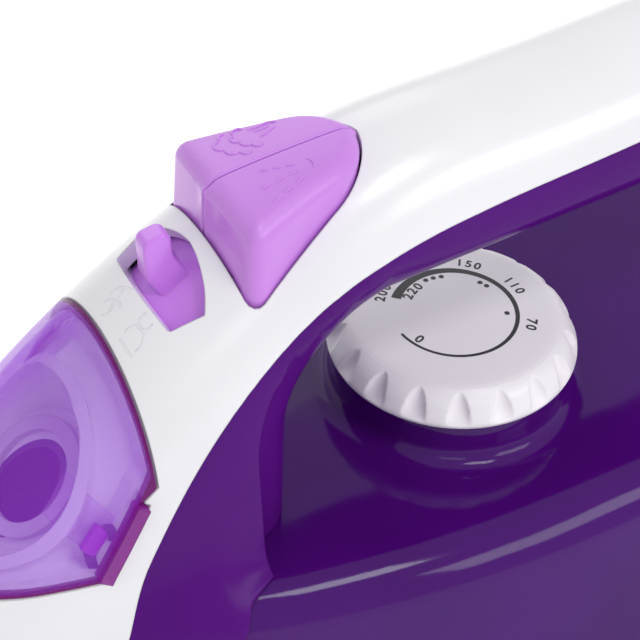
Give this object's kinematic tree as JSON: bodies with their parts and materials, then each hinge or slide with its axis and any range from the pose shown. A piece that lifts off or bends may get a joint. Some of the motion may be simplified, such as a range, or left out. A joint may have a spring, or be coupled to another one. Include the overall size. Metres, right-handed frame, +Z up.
{
  "type": "steam iron",
  "caption": "Hand-held household steam iron with its own water tank, flip-up fill lid, steam lever, pump buttons and a temperature dial under the handle.",
  "frame": {"origin": "on the ironing face, under the middle of the overall length and width", "axes": "+Z up, -X towards the nose, -Y towards the left side of the iron, where the fill lid is opened"},
  "size_m": [0.28, 0.116, 0.1439],
  "materials": {
    "plate_steel": "satin",
    "element_steel": "satin",
    "casting": "matte",
    "seal_rubber": "matte",
    "skirt_dark": "matte",
    "screw_steel": "satin",
    "tank_plum": "gloss",
    "shell_white": "gloss",
    "fairing_purple": "satin",
    "lid_lilac": "gloss",
    "lever_plum": "gloss",
    "inner_white": "matte",
    "button_lilac": "satin",
    "hose_clear": "satin",
    "ring_lilac": "gloss",
    "dial_grey": "satin",
    "thermostat_brass": "satin",
    "ceramic_white": "matte",
    "wire_grey": "matte",
    "lens_amber": "gloss"
  },
  "bodies": {
    "body": {"soleplate": "plate_steel", "heating_element": "element_steel", "heater_casting": "casting", "chamber_gasket": "seal_rubber", "chamber_cover": "element_steel", "heat_skirt": "skirt_dark", "base_screws": "screw_steel", "water_tank": "tank_plum", "tank_base": "tank_plum", "upper_shell": "shell_white", "handle_fairing": "fairing_purple", "heel_housing": "fairing_purple", "rear_cover": "fairing_purple", "cover_screws": "screw_steel", "fill_cup": "shell_white", "fill_seal": "seal_rubber", "lid_hinge_pin": "screw_steel", "lever_track": "shell_white", "drip_valve_seat": "seal_rubber", "pump_bracket": "inner_white", "spray_pump_barrel": "inner_white", "steam_pump_barrel": "inner_white", "spray_spring": "screw_steel", "steam_spring": "screw_steel", "spray_hose": "hose_clear", "steam_pipe": "element_steel", "spray_nozzle": "inner_white", "nozzle_ring": "ring_lilac", "thermostat_bracket": "element_steel", "thermostat": "thermostat_brass", "thermal_fuse": "ceramic_white", "gland_clamp": "inner_white", "terminal_block": "inner_white", "terminal_screws": "thermostat_brass", "lead_wires": "wire_grey", "pilot_lens": "lens_amber"},
    "lid": {"fill_lid": "lid_lilac"},
    "dial": {"temperature_dial": "dial_grey", "dial_shaft": "inner_white"},
    "lever": {"steam_lever": "lever_plum"},
    "rod": {"valve_rod": "screw_steel"},
    "spray_plunger": {"spray_button": "button_lilac", "spray_piston": "inner_white"},
    "steam_plunger": {"steam_button": "button_lilac", "steam_piston": "inner_white"},
    "gland": {"cord_gland": "skirt_dark"}
  },
  "joints": [
    {"name": "lid_hinge", "type": "hinge", "parent": "body", "child": "lid", "pos_m": [-0.096, 0.01853, 0.0783], "axis": [-0.9719, -0.2356, 0], "range_deg": [0, 105]},
    {"name": "dial_turn", "type": "hinge", "parent": "body", "child": "dial", "pos_m": [0, 0, 0.08], "axis": [0, 0, 1], "range_deg": [-300, 0]},
    {"name": "lever_swing", "type": "hinge", "parent": "body", "child": "lever", "pos_m": [-0.04698, 0, 0.10333], "axis": [-0.829, 0, -0.5592], "range_deg": [-22.34, 11.66]},
    {"name": "rod_lift", "type": "slide", "parent": "body", "child": "rod", "axis": [0, 0, 1], "range_m": [-0.00199, 0.00105]},
    {"name": "spray_press", "type": "slide", "parent": "body", "child": "spray_plunger", "axis": [0, 0, -1], "range_m": [0, 0.003], "stiffness_N_per_m": 300, "springref_m": -0.002, "deforming": ["spray_spring"]},
    {"name": "steam_press", "type": "slide", "parent": "body", "child": "steam_plunger", "axis": [0, 0, -1], "range_m": [0, 0.003], "stiffness_N_per_m": 300, "springref_m": -0.002, "deforming": ["steam_spring"]},
    {"name": "gland_swivel", "type": "hinge", "parent": "body", "child": "gland", "pos_m": [0.11761, 0, 0.11742], "axis": [-0.6428, 0, 0.766], "range_deg": [-28, 28]}
  ],
  "couplings": [
    {"joint": "rod_lift", "follows": "lever_swing", "m_per_rad": 0.005056}
  ]
}
